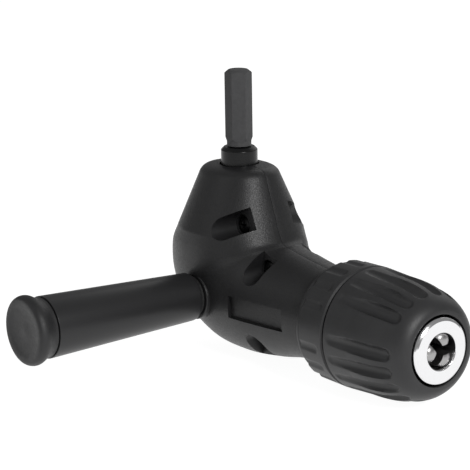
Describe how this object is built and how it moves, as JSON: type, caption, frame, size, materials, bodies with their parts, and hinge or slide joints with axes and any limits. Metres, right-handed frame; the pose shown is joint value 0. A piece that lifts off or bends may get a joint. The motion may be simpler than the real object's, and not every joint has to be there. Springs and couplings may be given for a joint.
{
  "type": "right angle drill adapter",
  "caption": "Right angle drill adapter: a hex drive shank turns a keyless three-jaw chuck through bevel gears in a moulded clamshell housing with a screw-in side handle.",
  "frame": {"origin": "centre of the hex shank's top end face", "axes": "+Z out of the shank along its axis, +X out through the chuck along the spindle axis, the side handle along -Y"},
  "size_m": [0.1274, 0.108, 0.0943],
  "materials": {
    "housing_plastic": "black glass-filled nylon, spark-eroded fine grain, satin",
    "chuck_plastic": "black moulded nylon, fine grain, satin",
    "handle_plastic": "black moulded plastic, smooth semi-gloss",
    "black_rubber": "black rubber, matt",
    "blacked_steel": "phosphated dark grey steel, satin",
    "bright_steel": "ground bright steel",
    "gear_steel": "hardened gear steel, dark satin",
    "chrome": "bright chrome plate",
    "bronze": "sintered bronze, matt"
  },
  "bodies": {
    "housing": {"housing_left": "housing_plastic", "housing_right": "housing_plastic", "housing_screw_1": "blacked_steel", "housing_screw_2": "blacked_steel", "housing_screw_3": "blacked_steel", "housing_screw_4": "blacked_steel", "handle_nut": "bright_steel", "input_bearing_outer": "bright_steel", "output_bearing_outer": "bright_steel", "input_seal": "black_rubber", "output_bush": "bronze"},
    "input_shaft": {"drive_shank": "blacked_steel", "input_gear": "gear_steel", "input_bearing_inner": "bright_steel", "input_retaining_ring": "bright_steel"},
    "output_shaft": {"output_spindle": "bright_steel", "output_gear": "gear_steel", "output_bearing_inner": "bright_steel", "output_retaining_ring": "bright_steel", "chuck_body": "chrome", "chuck_collar": "chuck_plastic", "chuck_screw": "blacked_steel", "chuck_thrust_ring": "bright_steel"},
    "sleeve": {"chuck_sleeve": "chuck_plastic", "jaw_nut": "gear_steel", "jaw_nut_band": "bright_steel"},
    "jaw_a": {"jaw_1": "bright_steel"},
    "jaw_b": {"jaw_2": "bright_steel"},
    "jaw_c": {"jaw_3": "bright_steel"},
    "handle_carrier": {"handle_washer": "blacked_steel"},
    "handle": {"handle_stud": "bright_steel", "handle_grip": "handle_plastic", "handle_cap": "black_rubber"}
  },
  "joints": [
    {"name": "input_spin", "type": "hinge", "parent": "housing", "child": "input_shaft", "pos_m": [0, 0, -0.04], "axis": [0, 0, 1], "continuous": true},
    {"name": "output_spin", "type": "hinge", "parent": "housing", "child": "output_shaft", "pos_m": [0.05, 0, -0.0744], "axis": [1, 0, 0], "continuous": true},
    {"name": "sleeve_turn", "type": "hinge", "parent": "output_shaft", "child": "sleeve", "pos_m": [0.085, 0, -0.0744], "axis": [1, 0, 0], "range_deg": [-1300, 3000]},
    {"name": "jaw_a_slide", "type": "slide", "parent": "output_shaft", "child": "jaw_a", "axis": [0.9659, 0.2578, 0.0226], "range_m": [-0.0123, 0.0054]},
    {"name": "jaw_b_slide", "type": "slide", "parent": "output_shaft", "child": "jaw_b", "axis": [0.9659, -0.1485, 0.212], "range_m": [-0.0123, 0.0054]},
    {"name": "jaw_c_slide", "type": "slide", "parent": "output_shaft", "child": "jaw_c", "axis": [0.9659, -0.1094, -0.2346], "range_m": [-0.0123, 0.0054]},
    {"name": "handle_travel", "type": "slide", "parent": "housing", "child": "handle_carrier", "axis": [0, -1, 0], "range_m": [0, 0.0085]},
    {"name": "handle_unscrew", "type": "hinge", "parent": "handle_carrier", "child": "handle", "pos_m": [0, -0.05, -0.0744], "axis": [0, -1, 0], "range_deg": [0, 2160]}
  ],
  "couplings": [
    {"joint": "input_spin", "follows": "output_spin", "ratio": -1},
    {"joint": "jaw_a_slide", "follows": "sleeve_turn", "m_per_rad": -0.00023249},
    {"joint": "jaw_b_slide", "follows": "sleeve_turn", "m_per_rad": -0.00023249},
    {"joint": "jaw_c_slide", "follows": "sleeve_turn", "m_per_rad": -0.00023249},
    {"joint": "handle_travel", "follows": "handle_unscrew", "m_per_rad": 0.00019894}
  ]
}
